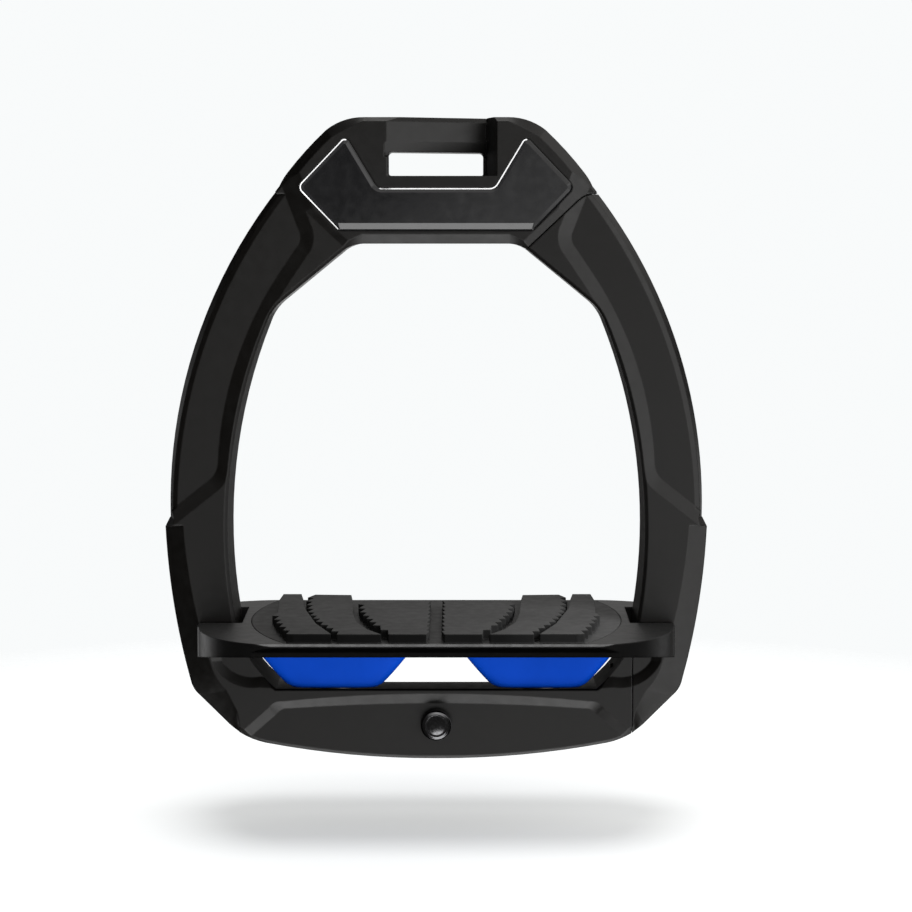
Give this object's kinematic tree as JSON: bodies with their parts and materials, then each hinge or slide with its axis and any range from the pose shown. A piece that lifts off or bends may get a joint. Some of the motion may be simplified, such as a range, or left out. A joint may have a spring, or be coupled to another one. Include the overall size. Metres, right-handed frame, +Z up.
{
  "type": "stirrup iron",
  "caption": "Safety stirrup iron: bevelled ring with an outer branch hinged at the top and held shut by magnets, wide lugged tread on two blue elastomer blocks, skewed leather bar.",
  "frame": {"origin": "centre of the leather slot, on the mid-plane of the ring", "axes": "+Z up towards the leather bar, +X towards the outer branch that opens, -Y towards the toe of the boot; the ring lies in the XZ plane"},
  "size_m": [0.156, 0.0625, 0.1846],
  "materials": {
    "frame_composite": "satin, finely textured",
    "tread_composite": "satin",
    "grip_rubber": "matt, grained",
    "blue_elastomer": "smooth, slightly translucent",
    "inlay_gloss": "gloss with bright bevel",
    "badge_metal": "dark chrome",
    "steel": "turned",
    "black_steel": "black oxide",
    "bronze": "sintered",
    "magnet": "nickel plated"
  },
  "bodies": {
    "frame": {"main_frame": "frame_composite", "hinge_bush_front": "bronze", "hinge_bush_rear": "bronze", "base_magnet_front": "magnet", "base_magnet_rear": "magnet", "locating_dowel": "steel", "eye_inlay_front": "inlay_gloss", "eye_inlay_rear": "inlay_gloss", "base_badge": "badge_metal", "base_bolt_left": "black_steel", "base_bolt_right": "black_steel", "base_washer_left": "steel", "base_washer_right": "steel", "lower_insert_left": "steel", "lower_insert_right": "steel"},
    "branch": {"release_branch": "frame_composite", "hinge_pin": "steel", "hinge_plug": "black_steel", "branch_keeper_front": "magnet", "branch_keeper_rear": "magnet"},
    "suspension": {"elastomer_left": "blue_elastomer", "elastomer_right": "blue_elastomer"},
    "tread": {"tread_plate": "tread_composite", "grip_insert": "grip_rubber", "tread_screw_left": "black_steel", "tread_screw_right": "black_steel", "upper_insert_left": "steel", "upper_insert_right": "steel"}
  },
  "joints": [
    {"name": "branch_hinge", "type": "hinge", "parent": "frame", "child": "branch", "pos_m": [0.0452, 0, -0.015], "axis": [0, -1, 0], "range_deg": [0, 75]},
    {"name": "tread_plunge", "type": "slide", "parent": "frame", "child": "suspension", "axis": [0, 0, 1], "range_m": [-0.003, 0], "stiffness_N_per_m": 150000, "deforming": ["elastomer_left", "elastomer_right"]},
    {"name": "tread_pitch", "type": "hinge", "parent": "suspension", "child": "tread", "pos_m": [0, 0, -0.1455], "axis": [1, 0, 0], "range_deg": [-3, 3], "stiffness_Nm_per_rad": 60}
  ]
}
